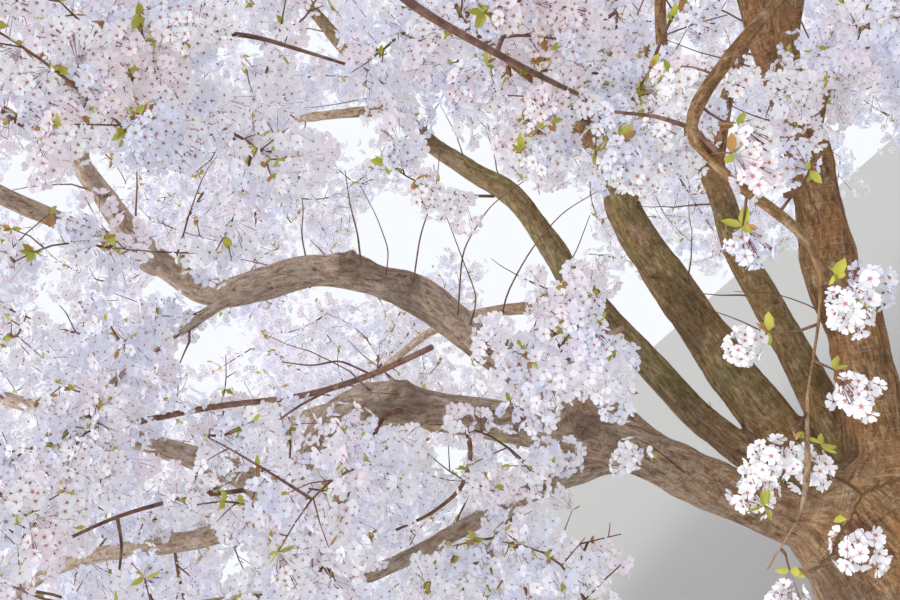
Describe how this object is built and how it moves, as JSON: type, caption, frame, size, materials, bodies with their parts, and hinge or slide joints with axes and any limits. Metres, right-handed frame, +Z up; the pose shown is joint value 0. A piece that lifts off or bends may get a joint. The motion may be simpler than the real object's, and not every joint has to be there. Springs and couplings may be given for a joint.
{
  "type": "white cherry blossom tree",
  "caption": "Low-forked cherry tree in full white blossom: a short flared trunk, curving stems, long boughs and a wide rounded crown of hanging blossom clusters.",
  "frame": {"origin": "the middle of the flat cut under the trunk, at ground level", "axes": "+Z up, +X to the right and +Y away from the side that the picture was taken from"},
  "size_m": [8.2657, 6.9215, 5.6478],
  "materials": {
    "bark": "warm brown, fissured, with level bands of raised pores",
    "mossy_bark": "brown bark greyed and greened by lichen and moss",
    "blossom": "soft thin petals, white with a cool pink cast, rose centres",
    "twig_bark": "smooth red-brown twig bark",
    "young_leaf": "young leaves, yellow-green with some bronze"
  },
  "bodies": {
    "root": {"trunk": "bark", "stem_left": "bark", "stem_middle": "mossy_bark", "stem_right_middle": "mossy_bark", "stem_right": "bark", "stem_rear": "bark", "stem_twisted": "bark", "bough_far_left": "bark", "bough_left_rise": "bark", "bough_front_left": "bark", "bough_over_left": "bark", "bough_over_right": "bark", "bough_right_front": "bark", "bough_right": "bark", "bough_right_back": "bark", "bough_back_right": "bark", "bough_back_left": "bark", "bough_left_back": "bark", "bough_high_left": "bark", "bough_high_front": "bark", "bough_high_back": "bark", "bough_high_right": "bark", "bough_top_front": "bark", "bough_hanging_left": "bark", "bough_hanging_middle": "bark", "bough_hanging_right": "bark", "bough_inner": "bark", "bough_low_left": "bark", "bough_left_front": "bark", "bough_left_low": "bark", "bough_low_right": "bark", "blossom_of_stem_middle": "blossom", "blossom_of_stem_right_middle": "blossom", "blossom_of_stem_right": "blossom", "blossom_of_stem_rear": "blossom", "blossom_of_stem_twisted": "blossom", "blossom_of_bough_far_left": "blossom", "blossom_of_bough_left_rise": "blossom", "blossom_of_bough_front_left": "blossom", "blossom_of_bough_over_left": "blossom", "blossom_of_bough_over_right": "blossom", "blossom_of_bough_right_front": "blossom", "blossom_of_bough_right": "blossom", "blossom_of_bough_right_back": "blossom", "blossom_of_bough_back_right": "blossom", "blossom_of_bough_back_left": "blossom", "blossom_of_bough_left_back": "blossom", "blossom_of_bough_high_left": "blossom", "blossom_of_bough_high_front": "blossom", "blossom_of_bough_high_back": "blossom", "blossom_of_bough_high_right": "blossom", "blossom_of_bough_top_front": "blossom", "blossom_of_bough_hanging_left": "blossom", "blossom_of_bough_hanging_middle": "blossom", "blossom_of_bough_hanging_right": "blossom", "blossom_of_bough_inner": "blossom", "blossom_of_bough_low_left": "blossom", "blossom_of_bough_left_front": "blossom", "blossom_of_bough_left_low": "blossom", "blossom_of_bough_low_right": "blossom"}
  },
  "joints": []
}
